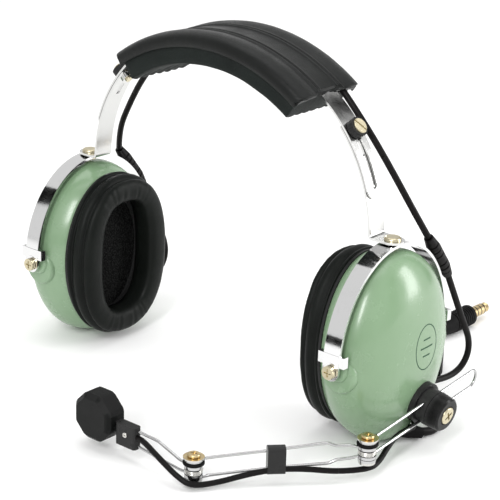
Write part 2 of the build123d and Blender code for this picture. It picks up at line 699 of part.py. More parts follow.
BRACKET_X = (26.0, 40.0)
BRACKET_Y = (-116.4, -111.0)
BRACKET_Z = (8.0, 20.0)
MIC_LINE_Y = (BRACKET_Y[0] + BRACKET_Y[1]) / 2


def front_wire(layer, points):
    """One of the front boom's two wires, from the second elbow into the microphone's bracket."""
    eye_z = SECOND_TOP - middle(layer)
    route = [(SECOND_ELBOW[0] - EYE_MIDDLE, SECOND_ELBOW[1] - 0.3, eye_z)] + points
    with BuildPart() as wire:
        add(tube(route, WIRE_D, radii=corner_radii(route, 9.0)))
        add(flatten_for(SECOND_ELBOW, SECOND_TOP, layer), mode=Mode.SUBTRACT)
        add(eye(SECOND_ELBOW, SECOND_TOP, layer, PIN_FREE))
    return wire.part


upper_front = front_wire(EYE_B, [(68.0, -111.7, 10.9), (53.0, -112.8, 17.0), (29.5, MIC_LINE_Y, 18.6)])
lower_front = front_wire(EYE_C, [(68.0, -111.7, 5.6), (51.0, -112.9, 7.9), (29.5, MIC_LINE_Y, 10.9)])
with BuildPart() as front_boom_wires:
    add(upper_front)
    add(lower_front)
save(front_boom_wires.part, "front_boom_wires")

# ---------------------------------------------------------------- microphone
MIC_CENTRE = (12.0, -114.0, 18.5)
MIC_HALF = 12.9
MIC_DEPTH = 13.0
STUB_Z = 15.0
STUB_R = 1.9

with BuildPart() as mic_bracket:
    middle_x = sum(BRACKET_X) / 2
    with BuildSketch(Plane(origin=(middle_x, MIC_LINE_Y, BRACKET_Z[0]))):
        RectangleRounded(BRACKET_X[1] - BRACKET_X[0], BRACKET_Y[1] - BRACKET_Y[0], 1.6)
    extrude(amount=BRACKET_Z[1] - BRACKET_Z[0])
    for wire in (upper_front, lower_front):
        add(wire, mode=Mode.SUBTRACT)
    with BuildSketch(Plane(origin=(BRACKET_X[0] - 1, MIC_LINE_Y, STUB_Z), z_dir=(1, 0, 0))):
        Circle(STUB_R + 0.1)
    extrude(amount=6, mode=Mode.SUBTRACT)

with BuildPart() as bracket_screw:
    seat = Plane(origin=(middle_x + 0.6, BRACKET_Y[0], STUB_Z), x_dir=(1, 0, 0), z_dir=(0, -1, 0))
    with BuildSketch(seat):
        Circle(1.5)
    extrude(amount=0.9)
    fillet(bracket_screw.edges().filter_by(GeomType.CIRCLE).sort_by(Axis.Y)[0], 0.4)
    with BuildSketch(seat.offset(0.9)):
        Rectangle(2.2, 0.5)
    extrude(amount=-0.4, mode=Mode.SUBTRACT)
save(bracket_screw.part, "mic_bracket_screw")

with BuildPart() as mic_housing:
    back = MIC_CENTRE[1] + MIC_DEPTH / 2
    mic_back = Plane(origin=(MIC_CENTRE[0], back, MIC_CENTRE[2]), x_dir=(1, 0, 0), z_dir=(0, -1, 0))
    with BuildSketch(mic_back):
        RegularPolygon(MIC_HALF, 8, major_radius=False, rotation=22.5)
    extrude(amount=MIC_DEPTH)
    fillet(mic_housing.edges().filter_by(Axis.Y), 5.0)
    chamfer(mic_housing.faces().sort_by(Axis.Y)[0].edges(), 2.6)
    chamfer(mic_housing.faces().sort_by(Axis.Y)[-1].edges(), 1.0)
    with BuildSketch(Plane(origin=(MIC_CENTRE[0] + 8, MIC_LINE_Y, STUB_Z), z_dir=(1, 0, 0))):
        Circle(STUB_R)
    extrude(amount=BRACKET_X[0] + 3.5 - MIC_CENTRE[0] - 8)
    with BuildSketch(mic_back):
        Circle(8.6)
    extrude(amount=1.6, mode=Mode.SUBTRACT)

with BuildPart() as mic_grille:
    with BuildSketch(mic_back.offset(0.2)):
        Circle(8.5)
        with PolarLocations(5.6, 10):
            Circle(0.8, mode=Mode.SUBTRACT)
        with PolarLocations(2.8, 5):
            Circle(0.8, mode=Mode.SUBTRACT)
        Circle(0.8, mode=Mode.SUBTRACT)
    extrude(amount=1.2)
save(mic_grille.part, "mic_grille")

# ---------------------------------------------------------------- microphone cable
CLIP_S = 46.5
CABLE_ASIDE = 2.7  # the cable runs beside the lower wire, on the wearer's front side
PASS_FIRST = (FIRST_ELBOW[0] + 1.5, FIRST_ELBOW[1] + 1.0, 6.4)
rear_cable_route = [
    (122.8, 11.5, 10.4),
    (130.0, 4.5, 10.6),
    (132.2, -6.0, 13.4),
    (132.4, -17.0, 13.4),
    (133.8, -27.0, 9.9),
    (136.0, -36.0, 6.8),
    PASS_FIRST,
]
middle_cable_route = [
    PASS_FIRST,
    on_span(16.0, 6.6, CABLE_ASIDE),
    on_span(31.0, 8.6, CABLE_ASIDE),
    on_span(CLIP_S, 8.9, CABLE_ASIDE),
    on_span(61.0, 6.6, CABLE_ASIDE + 0.4),
    on_span(76.0, 3.4, CABLE_ASIDE + 2.2),
    (80.5, -117.6, 3.2),
]
front_cable_route = [
    (80.5, -117.6, 3.2),
    (72.5, -119.8, 6.8),
    (62.0, -119.4, 11.4),
    (52.0, -117.6, 14.4),
    (45.0, -115.2, 15.0),
    (40.0, -113.9, 14.6),
    (35.5, -113.7, 14.5),
]
middle_cable = tube(middle_cable_route, MIC_CABLE_D, name="mic_cable_middle")
rear_cable = tube(rear_cable_route, MIC_CABLE_D, name="mic_cable_rear")
front_cable = tube(front_cable_route, MIC_CABLE_D, name="mic_cable_front")
with BuildPart() as mic_cable_rear:
    add(rear_cable)
    add(middle_cable, mode=Mode.SUBTRACT)
with BuildPart() as mic_cable_front:
    add(front_cable)
    add(middle_cable, mode=Mode.SUBTRACT)
save(mic_cable_rear.part, "mic_cable_rear")
save(middle_cable, "mic_cable_middle")
save(mic_cable_front.part, "mic_cable_front")

with BuildPart() as bored_bracket:
    add(mic_bracket.part)
    add(front_cable, mode=Mode.SUBTRACT)
save(bored_bracket.part, "mic_bracket")
save(mic_housing.part, "mic_housing")

with BuildPart() as cable_clip:
    clip_low = on_span(CLIP_S - 4.6, 13.6, CABLE_ASIDE / 2)
    clip_plane = Plane(origin=clip_low, x_dir=(ASIDE[0], ASIDE[1], 0), z_dir=(ALONG[0], ALONG[1], 0))
    with BuildSketch(clip_plane):
        RectangleRounded(7.0, 14.6, 2.2)
    extrude(amount=9.2)
    for held in (upper_wire, lower_wire, middle_cable):
        add(held, mode=Mode.SUBTRACT)
save(cable_clip.part, "cable_clip")

# ---------------------------------------------------------------- main cord, coil and plug
CORD_R = MAIN_CORD_D / 2
REST_Z = CORD_R + 0.1
COIL_CENTRE = (60.0, 80.0)
COIL_RINGS = (22.7, 27.3)
COIL_LAYERS = 4
COIL_OUT = COIL_RINGS[1] + CORD_R
COIL_IN = COIL_RINGS[0] - CORD_R
COIL_TOP = COIL_LAYERS * MAIN_CORD_D + 0.1
GLAND_START = Vector(119.5, 1.5, 6.6)
GLAND_END = Vector(130.0, 13.5, 3.4)
gland_axis = GLAND_END - GLAND_START

lead_route = [
    tuple(GLAND_START),
    (129.6, 14.6, REST_Z + 0.1),
    (129.2, 29.0, REST_Z),
    (121.0, 41.0, REST_Z),
    (105.0, 48.5, REST_Z),
    (84.0, COIL_CENTRE[1] - COIL_RINGS[1] - 0.6, REST_Z),
    (COIL_CENTRE[0] + 8.0, COIL_CENTRE[1] - COIL_RINGS[1] + 0.6, REST_Z),
]
full_lead = tube(lead_route, MAIN_CORD_D, name="main_cord_lead")

with BuildPart() as gland_body:
    gland_plane = Plane(origin=GLAND_START, z_dir=gland_axis)
    for share, radius in ((0.0, 3.9), (0.45, 3.9), (0.9, 2.9)):
        with BuildSketch(gland_plane.offset(share * gland_axis.length)):
            Circle(radius)
    loft(ruled=True)

with BuildPart() as cord_gland:
    add(gland_body.part)
    add(full_lead, mode=Mode.SUBTRACT)
save(cord_gland.part, "cord_gland")

with BuildPart() as left_dome:
    add(right_dome.part)
    with BuildSketch(boom.offset(-9)):
        Circle(BASE_R)
    extrude(amount=20, mode=Mode.SUBTRACT)
    for neighbour in (gland_body.part, full_lead, rear_cable):
        add(neighbour, mode=Mode.SUBTRACT)
save(left_dome.part, "left_dome")

with BuildPart() as cord_coil:
    with BuildSketch(Plane(origin=(COIL_CENTRE[0], COIL_CENTRE[1], 0.1))):
        Circle(COIL_OUT)
        Circle(COIL_IN, mode=Mode.SUBTRACT)
    extrude(amount=COIL_TOP - 0.1)
    fillet(cord_coil.edges().filter_by(GeomType.CIRCLE), 2.0)
save(cord_coil.part, "main_cord_coil")

with BuildPart() as main_cord_lead:
    add(full_lead)
    add(cord_coil.part, mode=Mode.SUBTRACT)
save(main_cord_lead.part, "main_cord_lead")

HANDLE_R = 6.5
HANDLE_LENGTH = 31.0
PLUG_X = 56.0
PLUG_Y = 136.0  # where the cord enters the handle
tail_route = [
    (COIL_CENTRE[0] - 18.3, COIL_CENTRE[1] + 20.3, COIL_TOP - CORD_R - 0.6),
    (COIL_CENTRE[0] - 9.4, COIL_CENTRE[1] + 29.8, COIL_TOP - 4.6),
    (COIL_CENTRE[0] - 5.0, COIL_CENTRE[1] + 38.6, 9.4),
    (PLUG_X, PLUG_Y - 9.0, 6.9),
    (PLUG_X + 0.2, PLUG_Y + 2.0, HANDLE_R + 0.1),
]
full_tail = tube(tail_route, MAIN_CORD_D, name="main_cord_tail")
with BuildPart() as main_cord_tail:
    add(full_tail)
    add(cord_coil.part, mode=Mode.SUBTRACT)
save(main_cord_tail.part, "main_cord_tail")

plug = Plane(origin=(PLUG_X, PLUG_Y, HANDLE_R + 0.05), x_dir=(1, 0, 0), z_dir=(0, 1, 0))
with BuildPart() as plug_handle:
    for along, radius in ((0.0, 4.6), (4.0, 5.4), (12.0, HANDLE_R), (HANDLE_LENGTH, HANDLE_R)):
        with BuildSketch(plug.offset(along)):
            Circle(radius)
    loft(ruled=True)
    for groove in range(9):
        with BuildSketch(plug.offset(11.5 + 2.0 * groove)):
            Circle(HANDLE_R + 1)
            Circle(HANDLE_R - 0.6, mode=Mode.SUBTRACT)
        extrude(amount=0.9, mode=Mode.SUBTRACT)
    add(full_tail, mode=Mode.SUBTRACT)
save(plug_handle.part, "plug_handle")

SLEEVE_LENGTH = 5.9
POLE_LENGTH = 2.9
INSULATOR_T = 0.9
TIP_LENGTH = 6.4


def shank_step(start, length):
    """A length of the plug's shank."""
    with BuildPart() as step:
        with BuildSketch(plug.offset(HANDLE_LENGTH + start)):
            Circle(SHANK_D / 2)
        extrude(amount=length)
    return step.part


starts = [0.0]
for length in (SLEEVE_LENGTH, POLE_LENGTH, POLE_LENGTH):
    starts.append(starts[-1] + length + INSULATOR_T)
with BuildPart() as plug_poles:
    add(shank_step(starts[0], SLEEVE_LENGTH))
    add(shank_step(starts[1], POLE_LENGTH))
    add(shank_step(starts[2], POLE_LENGTH))
with BuildPart() as plug_tip:
    for share, radius in ((0.0, 3.2), (0.2, 3.2), (0.42, 2.2), (0.68, 3.1), (0.86, 2.5), (1.0, 0.9)):
        with BuildSketch(plug.offset(HANDLE_LENGTH + starts[3] + share * TIP_LENGTH)):
            Circle(radius)
    loft(ruled=True)
with BuildPart() as plug_contacts:
    add(plug_poles.part)
    add(plug_tip.part)
save(plug_contacts.part, "plug_contacts")

with BuildPart() as plug_insulators:
    for start in starts[1:]:
        add(shank_step(start - INSULATOR_T, INSULATOR_T))
save(plug_insulators.part, "plug_insulators")

print("first elbow", round(FIRST_ELBOW[0], 2), round(FIRST_ELBOW[1], 2), "top", round(FIRST_TOP, 2))
print("side arc centre", round(SIDE_X, 2), round(SIDE_Z, 2), "cup plane", CUP_X, "foot", FOOT_Z)
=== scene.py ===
"""Aviation headset: materials, soft parts, cords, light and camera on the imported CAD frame."""

import json
import math
from math import cos, pi, radians, sin

import bmesh
import bpy
from mathutils import Matrix, Vector, noise


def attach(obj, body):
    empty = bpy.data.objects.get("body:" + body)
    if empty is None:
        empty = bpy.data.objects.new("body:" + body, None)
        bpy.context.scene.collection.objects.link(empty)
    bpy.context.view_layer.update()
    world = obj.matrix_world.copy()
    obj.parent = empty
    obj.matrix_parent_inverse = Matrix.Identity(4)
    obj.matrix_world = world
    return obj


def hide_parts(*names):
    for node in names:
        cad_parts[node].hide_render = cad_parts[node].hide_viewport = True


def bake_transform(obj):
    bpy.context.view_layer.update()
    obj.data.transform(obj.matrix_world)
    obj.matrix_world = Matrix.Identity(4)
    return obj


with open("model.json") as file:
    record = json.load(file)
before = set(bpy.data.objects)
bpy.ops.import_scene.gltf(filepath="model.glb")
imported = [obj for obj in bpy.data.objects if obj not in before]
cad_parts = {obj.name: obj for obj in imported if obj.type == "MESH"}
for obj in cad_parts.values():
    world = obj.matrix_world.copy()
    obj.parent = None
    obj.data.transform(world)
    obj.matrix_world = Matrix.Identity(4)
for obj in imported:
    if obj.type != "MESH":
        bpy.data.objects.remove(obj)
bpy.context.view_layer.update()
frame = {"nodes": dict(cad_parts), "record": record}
nodes = frame["nodes"]

# ---------------------------------------------------------------- the CAD's own dimensions, in millimetres
MIDDLE_X, MIDDLE_Y = 7.7, -23.0  # the row frame's origin in the CAD's working frame
CUP_X, CUP_Z, HALF_B, HALF_C = 110.8, 53.0, 42.0, 53.0
DOME_DEPTH, NECK_DEPTH, SQUARENESS = 22.0, 16.0, 2.3
SEAL_X, PIVOT_Z = 78.0, 52.5
TOP_Z, CROWN_ANGLE = 89.0, 34.85
CORD_D, MIC_CABLE_D, MAIN_CORD_D = 3.6, 3.0, 4.6


def at(x, y, z):
    """A point of the CAD's working frame, in the row frame in metres."""
    return Vector(((x - MIDDLE_X) / 1000, (y - MIDDLE_Y) / 1000, z / 1000))


# ---------------------------------------------------------------- materials
def new_material(name):
    m = bpy.data.materials.new(name)
    m.use_nodes = True
    tree = m.node_tree
    return m, tree, tree.nodes["Principled BSDF"]


class Nodes:
    """Short calls for the few node kinds the materials use."""

    def __init__(self, tree):
        self.tree = tree
        self.coords = tree.nodes.new("ShaderNodeTexCoord").outputs["Object"]

    def link(self, a, b):
        self.tree.links.new(a, b)

    def noise(self, scale, detail=4.0, rough=0.55, stretch=None):
        n = self.tree.nodes.new("ShaderNodeTexNoise")
        n.inputs["Scale"].default_value = scale
        n.inputs["Detail"].default_value = detail
        n.inputs["Roughness"].default_value = rough
        source = self.coords
        if stretch:
            mapping = self.tree.nodes.new("ShaderNodeMapping")
            mapping.inputs["Scale"].default_value = stretch
            self.link(source, mapping.inputs["Vector"])
            source = mapping.outputs["Vector"]
        self.link(source, n.inputs["Vector"])
        return n.outputs["Fac"]

    def cells(self, scale, feature="F1", randomness=1.0):
        n = self.tree.nodes.new("ShaderNodeTexVoronoi")
        n.feature = feature
        n.inputs["Scale"].default_value = scale
        n.inputs["Randomness"].default_value = randomness
        self.link(self.coords, n.inputs["Vector"])
        return n.outputs["Distance"]

    def ramp(self, source, low, high, out_low=0.0, out_high=1.0):
        n = self.tree.nodes.new("ShaderNodeMapRange")
        n.inputs["From Min"].default_value = low
        n.inputs["From Max"].default_value = high
        n.inputs["To Min"].default_value = out_low
        n.inputs["To Max"].default_value = out_high
        self.link(source, n.inputs["Value"])
        return n.outputs["Result"]

    def mix(self, factor, a, b):
        n = self.tree.nodes.new("ShaderNodeMix")
        n.data_type = "RGBA"
        for key, value in (("A", a), ("B", b)):
            socket = [s for s in n.inputs if s.name == key and s.type == "RGBA"][0]
            if isinstance(value, tuple):
                socket.default_value = (*value, 1.0)
            else:
                self.link(value, socket)
        self.link(factor, [s for s in n.inputs if s.name == "Factor" and s.type == "VALUE"][0])
        return [s for s in n.outputs if s.type == "RGBA"][0]

    def math(self, operation, a, b):
        n = self.tree.nodes.new("ShaderNodeMath")
        n.operation = operation
        for socket, value in zip(n.inputs, (a, b)):
            if isinstance(value, (int, float)):
                socket.default_value = value
            else:
                self.link(value, socket)
        return n.outputs[0]

    def bump(self, height, strength, distance, after=None):
        n = self.tree.nodes.new("ShaderNodeBump")
        n.inputs["Strength"].default_value = strength
        n.inputs["Distance"].default_value = distance
        self.link(height, n.inputs["Height"])
        if after is not None:
            self.link(after, n.inputs["Normal"])
        return n.outputs["Normal"]

    def edges(self, low=0.5, high=0.62):
        n = self.tree.nodes.new("ShaderNodeNewGeometry")
        return self.ramp(n.outputs["Pointiness"], low, high)


def metal(name, color, rough, brush=None, dirt=(0.25, 0.24, 0.22), dirt_share=0.25, spread=0.1, grain=0.06):
    m, tree, shader = new_material(name)
    n = Nodes(tree)
    smudge = n.noise(70.0, 6.0, 0.6)
    fine = n.noise(900.0, 3.0, 0.6, stretch=brush)
    stain = n.ramp(n.noise(160.0, 8.0, 0.7), 0.56, 0.78, 0.0, dirt_share)
    n.link(n.mix(stain, color, dirt), shader.inputs["Base Color"])
    patchy = n.ramp(smudge, 0.3, 0.75, rough, rough + spread)
    n.link(n.math("ADD", patchy, n.ramp(fine, 0.3, 0.7, 0.0, 0.04)), shader.inputs["Roughness"])
    n.link(n.bump(fine, grain, 0.0002), shader.inputs["Normal"])
    shader.inputs["Metallic"].default_value = 1.0
    return m


GLOSS_SPREAD = 0.12
DARK_SPECULAR = 0.12  # the blacks reflect little of the white surroundings


def plastic(name, color, worn, rough, grain_scale, grain):
    m, tree, shader = new_material(name)
    n = Nodes(tree)
    blotch = n.ramp(n.noise(45.0, 5.0), 0.3, 0.7, 0.0, 0.5)
    tint = n.mix(blotch, color, tuple(min(1.0, c * 1.35 + 0.001) for c in color))
    n.link(n.mix(n.edges(0.51, 0.6), tint, worn), shader.inputs["Base Color"])
    patch = n.ramp(n.noise(120.0, 6.0, 0.65), 0.3, 0.75, rough, rough + GLOSS_SPREAD)
    n.link(patch, shader.inputs["Roughness"])
    fine = n.math("MULTIPLY", n.noise(grain_scale * 3.1, 2.0), 0.4)
    texture = n.math("ADD", n.noise(grain_scale, 3.0), fine)
    n.link(n.bump(texture, grain, 0.0004), shader.inputs["Normal"])
    shader.inputs["Specular IOR Level"].default_value = DARK_SPECULAR
    return m


def vinyl(name, color, rough, cell, grain, crease=0.3, sheen=0.15, gloss=0.11):
    """Soft sheet vinyl: a leather-like grain of small cells, broad creases and a dry, patchy shine."""
    m, tree, shader = new_material(name)
    n = Nodes(tree)
    pores = n.ramp(n.cells(cell, "DISTANCE_TO_EDGE"), 0.0, 0.22)
    tint = n.mix(n.ramp(n.noise(38.0, 6.0), 0.32, 0.7), color, tuple(c * 1.6 + 0.001 for c in color))
    pore_shade = n.ramp(pores, 0.0, 0.5, 0.35, 0.0)
    n.link(n.mix(pore_shade, tint, tuple(c * 0.45 for c in color)), shader.inputs["Base Color"])
    patch = n.ramp(n.noise(90.0, 5.0), 0.3, 0.7, rough - 0.06, rough + 0.1)
    n.link(n.math("ADD", patch, n.ramp(pores, 0.0, 1.0, 0.08, 0.0)), shader.inputs["Roughness"])
    soft = n.bump(n.noise(150.0, 4.0, 0.6), crease, 0.0006)
    n.link(n.bump(pores, grain, 0.00025, soft), shader.inputs["Normal"])
    shader.inputs["Sheen Weight"].default_value = sheen
    shader.inputs["Sheen Roughness"].default_value = 0.45
    shader.inputs["Specular IOR Level"].default_value = gloss
    return m


def rubber(name, color, rough):
    m, tree, shader = new_material(name)
    n = Nodes(tree)
    dust = n.ramp(n.noise(210.0, 7.0, 0.7), 0.5, 0.8, 0.0, 0.35)
    n.link(n.mix(dust, color, tuple(c * 2.0 + 0.004 for c in color)), shader.inputs["Base Color"])
    n.link(n.ramp(n.noise(140.0, 5.0), 0.3, 0.7, rough - 0.05, rough + 0.12), shader.inputs["Roughness"])
    n.link(n.bump(n.noise(1300.0, 3.0, 0.6), 0.18, 0.0002), shader.inputs["Normal"])
    shader.inputs["Specular IOR Level"].default_value = DARK_SPECULAR
    return m


def shell_material():
    m, tree, shader = new_material("green_shell")
    n = Nodes(tree)
    base = (0.175, 0.275, 0.160)
    pale = (0.205, 0.312, 0.190)
    clouds = n.ramp(n.noise(22.0, 3.0), 0.35, 0.7)
    tint = n.mix(clouds, base, pale)
    specks = n.ramp(n.cells(900.0), 0.0, 0.11, 0.5, 0.0)
    tint = n.mix(specks, tint, (0.13, 0.21, 0.12))
    n.link(n.mix(n.edges(0.57, 0.66), tint, (0.32, 0.42, 0.31)), shader.inputs["Base Color"])
    n.link(n.ramp(n.noise(60.0, 6.0, 0.65), 0.3, 0.75, 0.20, 0.33), shader.inputs["Roughness"])
    peel = n.bump(n.noise(260.0, 2.0), 0.05, 0.0006)
    n.link(n.bump(n.noise(1500.0, 3.0), 0.04, 0.0002, peel), shader.inputs["Normal"])
    shader.inputs["Coat Weight"].default_value = 0.2
    shader.inputs["Coat Roughness"].default_value = 0.12
    return m


def foam_material():
    m, tree, shader = new_material("foam")
    n = Nodes(tree)
    # painted shade: the foam's colour darkens where its surface lies low, in the hollows between the cells
    hollow_shade = n.ramp(n.cells(950.0), 0.15, 0.62)
    n.link(n.mix(hollow_shade, (0.020, 0.021, 0.020), (0.002, 0.002, 0.002)), shader.inputs["Base Color"])
    shader.inputs["Roughness"].default_value = 0.95
    shader.inputs["Specular IOR Level"].default_value = 0.1
    coarse = n.bump(n.noise(260.0, 5.0), 0.5, 0.0008)
    n.link(n.bump(n.ramp(n.cells(950.0), 0.0, 0.6, 1.0, 0.0), 0.9, 0.0009, coarse), shader.inputs["Normal"])
    return m


along_x, along_z = (0.03, 1.0, 1.0), (1.0, 1.0, 0.05)
MATERIALS = {
    "steel": metal("band_steel", (0.64, 0.64, 0.63), 0.10, brush=along_x, dirt_share=0.15),
    "chrome": metal("chrome", (0.74, 0.74, 0.74), 0.045, dirt_share=0.10, spread=0.05, grain=0.02),
    "steel_wire": metal("wire", (0.50, 0.50, 0.50), 0.14, brush=along_z, dirt_share=0.2),
    "brass": metal("brass", (0.62, 0.49, 0.27), 0.20, dirt=(0.30, 0.20, 0.09), dirt_share=0.5, spread=0.16),
    "gilt": metal(
        "gilt", (0.60, 0.54, 0.38), 0.26, dirt=(0.42, 0.34, 0.22), dirt_share=0.4, spread=0.14, grain=0.12
    ),
    "nickel": metal("nickel", (0.60, 0.59, 0.56), 0.18, dirt_share=0.35, spread=0.12),
    "green_shell": shell_material(),
    "black_plastic": plastic(
        "black_plastic", (0.004, 0.004, 0.004), (0.022, 0.022, 0.022), 0.24, 900.0, 0.08
    ),
    "mic_plastic": plastic("mic_plastic", (0.0035, 0.004, 0.0038), (0.018, 0.018, 0.018), 0.52, 1400.0, 0.35),
    "cover_vinyl": vinyl("cover_vinyl", (0.0045, 0.0052, 0.0048), 0.30, 1500.0, 0.20, sheen=0.0, gloss=0.2),
    "pad_vinyl": vinyl("pad_vinyl", (0.006, 0.0085, 0.0075), 0.50, 1100.0, 0.40, sheen=0.03),
    "seal_vinyl": vinyl("seal_vinyl", (0.004, 0.005, 0.0042), 0.36, 2200.0, 0.12, crease=0.3, sheen=0.0),
    "foam": foam_material(),
    "earphone": plastic("earphone", (0.030, 0.030, 0.030), (0.09, 0.09, 0.09), 0.45, 900.0, 0.3),
    "cord_rubber": rubber("cord_jacket", (0.0045, 0.0038, 0.0038), 0.40),
    "rubber": rubber("matte_rubber", (0.003, 0.003, 0.003), 0.55),
    "dark_ink": plastic("dark_ink", (0.020, 0.060, 0.035), (0.03, 0.08, 0.045), 0.45, 900.0, 0.05),
}
SLOTS = {s["node"]: s["material_slot"] for s in frame["record"]["subparts"]}


def paint(obj, material):
    obj.data.materials.clear()
    obj.data.materials.append(MATERIALS[material])


for label, node in nodes.items():
    paint(node, SLOTS[label])
paint(nodes["knob_screw"], "gilt")
for label in ("first_elbow_spring", "second_elbow_spring"):
    paint(nodes[label], "nickel")
for side in ("left", "right"):
    for piece in ("_thumb_screw", "_pivot_screws", "_swivel_rivet"):
        paint(nodes[side + piece], "gilt")


# ---------------------------------------------------------------- mesh helpers
def mesh_object(name, points, faces, material):
    """A new object from points of the working frame in millimetres."""
    mesh = bpy.data.meshes.new(name)
    mesh.from_pydata([at(*p) for p in points], [], faces)
    mesh.validate()
    mesh.polygons.foreach_set("use_smooth", [True] * len(mesh.polygons))
    obj = bpy.data.objects.new(name, mesh)
    bpy.context.scene.collection.objects.link(obj)
    obj.data.materials.append(MATERIALS[material])
    return obj


def ring_faces(rings, count, closed_rings=False):
    """Quads between rings of the same count of points."""
    faces = []
    last = rings if closed_rings else rings - 1
    for i in range(last):
        for j in range(count):
            a, b = i * count + j, i * count + (j + 1) % count
            c, d = ((i + 1) % rings) * count + (j + 1) % count, ((i + 1) % rings) * count + j
            faces.append((a, b, c, d))
    return faces


def recalculate(obj):
    """Turn a closed piece's faces outwards."""
    bm = bmesh.new()
    bm.from_mesh(obj.data)
    bmesh.ops.recalc_face_normals(bm, faces=bm.faces)
    bm.to_mesh(obj.data)
    bm.free()
    return obj


def modifier(obj, kind, **settings):
    m = obj.modifiers.new(kind.title(), kind)
    for key, value in settings.items():
        setattr(m, key, value)
    return m


def lathe(name, origin, axis, profile, material, count=64):
    """A turned piece: profile is (distance along the axis, radius) in millimetres."""
    origin, axis = Vector(origin), Vector(axis).normalized()
    u = axis.orthogonal().normalized()
    v = axis.cross(u)
    points = []
    for along, radius in profile:
        for j in range(count):
            a = 2 * pi * j / count
            points.append(origin + axis * along + (u * cos(a) + v * sin(a)) * radius)
    faces = ring_faces(len(profile), count)
    faces.append(tuple(range(count)))
    faces.append(tuple(range((len(profile) - 1) * count, len(profile) * count)))
    return recalculate(mesh_object(name, points, faces, material))


def smooth_line(points):
    """Points along the NURBS line that a route's points control, in metres, evenly fine."""
    curve = bpy.data.curves.new("route", "CURVE")
    curve.dimensions = "3D"
    spline = curve.splines.new("NURBS")
    spline.points.add(len(points) - 1)
    for target, p in zip(spline.points, points):
        target.co = (*at(*p), 1.0)
    spline.order_u = 3
    spline.use_endpoint_u = True
    spline.resolution_u = 14
    holder = bpy.data.objects.new("route", curve)
    bpy.context.scene.collection.objects.link(holder)
    line = bpy.data.meshes.new_from_object(holder)
    out = [v.co.copy() for v in line.vertices]
    bpy.data.objects.remove(holder)
    bpy.data.meshes.remove(line)
    return out


def sweep_rings(line, radius, sides=20):
    """Rings of points round a line, turning as little as they can."""
    rings = []
    normal = (line[1] - line[0]).orthogonal().normalized()
    for i, p in enumerate(line):
        along = (line[min(i + 1, len(line) - 1)] - line[max(i - 1, 0)]).normalized()
        normal = (normal - along * normal.dot(along)).normalized()
        across = along.cross(normal)
        angles = [2 * pi * j / sides for j in range(sides)]
        rings.append([p + (normal * cos(a) + across * sin(a)) * radius for a in angles])
    return rings


def from_rings(name, rings, material):
    """A swept piece from rings of points in metres."""
    count = len(rings[0])
    mesh = bpy.data.meshes.new(name)
    faces = ring_faces(len(rings), count)
    faces += [tuple(range(count)), tuple(range((len(rings) - 1) * count, len(rings) * count))]
    mesh.from_pydata([p for ring in rings for p in ring], [], faces)
    mesh.polygons.foreach_set("use_smooth", [True] * len(mesh.polygons))
    obj = bpy.data.objects.new(name, mesh)
    bpy.context.scene.collection.objects.link(obj)
    obj.data.materials.append(MATERIALS[material])
    return recalculate(obj)


def cut_tube(route, diameter, cuts, names, material):
    """A tube along a route, cut into pieces where the line passes nearest to each point of cuts."""
    line = smooth_line(route)
    rings = sweep_rings(line, diameter / 2000)
    stops = [0]
    for p in cuts:
        target = at(*p)
        stops.append(min(range(len(line)), key=lambda i: (line[i] - target).length))
    stops.append(len(line) - 1)
    pieces = []
    for name, a, b in zip(names, stops, stops[1:]):
        pieces.append(from_rings(name, rings[a : b + 1], material))
    return pieces, [line[i] for i in stops]


# ---------------------------------------------------------------- camera
camera_data = bpy.data.cameras.new("camera")
camera = bpy.data.objects.new("camera", camera_data)
bpy.context.scene.collection.objects.link(camera)
bpy.context.scene.camera = camera
eye = at(579.8, -678.0, 397.6)
forward = (at(6.68, 0.0, 94.8) - eye).normalized()
level = forward.cross(Vector((0, 0, 1))).normalized()
upright = level.cross(forward)
ROLL = radians(1.79)
right = level * cos(ROLL) + upright * sin(ROLL)
up = upright * cos(ROLL) - level * sin(ROLL)
camera.matrix_world = Matrix.Translation(eye) @ Matrix((right, up, -forward)).transposed().to_4x4()
camera_data.lens = 121.5
camera_data.shift_x = 0.0226
camera_data.shift_y = -0.0528
camera_data.clip_start = 0.05
camera_data.clip_end = 20.0

# ---------------------------------------------------------------- main cord
CORD_R = MAIN_CORD_D / 2
REST_Z = CORD_R + 0.1
COIL = (60.0, 80.0)
OUTER_R, INNER_R = 27.3, 22.7
GLAND = (119.5, 1.5, 6.6)
lead = [
    GLAND,
    (129.6, 14.6, REST_Z + 0.1),
    (129.2, 29.0, REST_Z),
    (121.0, 41.0, REST_Z),
    (105.0, 48.5, REST_Z),
    (84.0, COIL[1] - OUTER_R - 0.6, REST_Z),
    (COIL[0] + 8.0, COIL[1] - OUTER_R + 0.6, REST_Z),
]
tail = [
    (COIL[0] - 9.4, COIL[1] + 29.8, 4 * MAIN_CORD_D + 0.1 - 4.6),
    (COIL[0] - 5.0, COIL[1] + 38.6, 9.4),
    (56.0, 127.0, 6.9),
    (56.2, 138.0, 6.6),
]
PER_TURN = 18
TURNS = 8
END_ANGLE = radians(-228.0)
first_angle = radians(-98.0)


def coil_points():
    """The coil's turns: two side by side in each of four layers, wound inwards and outwards in turn."""
    radii = [OUTER_R, INNER_R, INNER_R, OUTER_R] * 2
    total = int(PER_TURN * (TURNS - 1)) + int(round(PER_TURN * (first_angle - END_ANGLE) / (2 * pi)))
    points = []
    for i in range(total + 1):
        turn = i / PER_TURN
        whole = int(turn)
        part = turn - whole
        blend = min(1.0, max(0.0, (part - 0.72) / 0.28))
        blend = blend * blend * (3 - 2 * blend)
        after = min(whole + 1, 7)
        r = radii[whole] + (radii[after] - radii[whole]) * blend
        level = whole // 2 + ((after // 2) - (whole // 2)) * blend
        a = first_angle - 2 * pi * turn
        wander = 0.25 * sin(3 * a + whole)
        z = REST_Z + level * MAIN_CORD_D
        points.append((COIL[0] + (r + wander) * cos(a), COIL[1] + (r + wander) * sin(a), z))
    return points


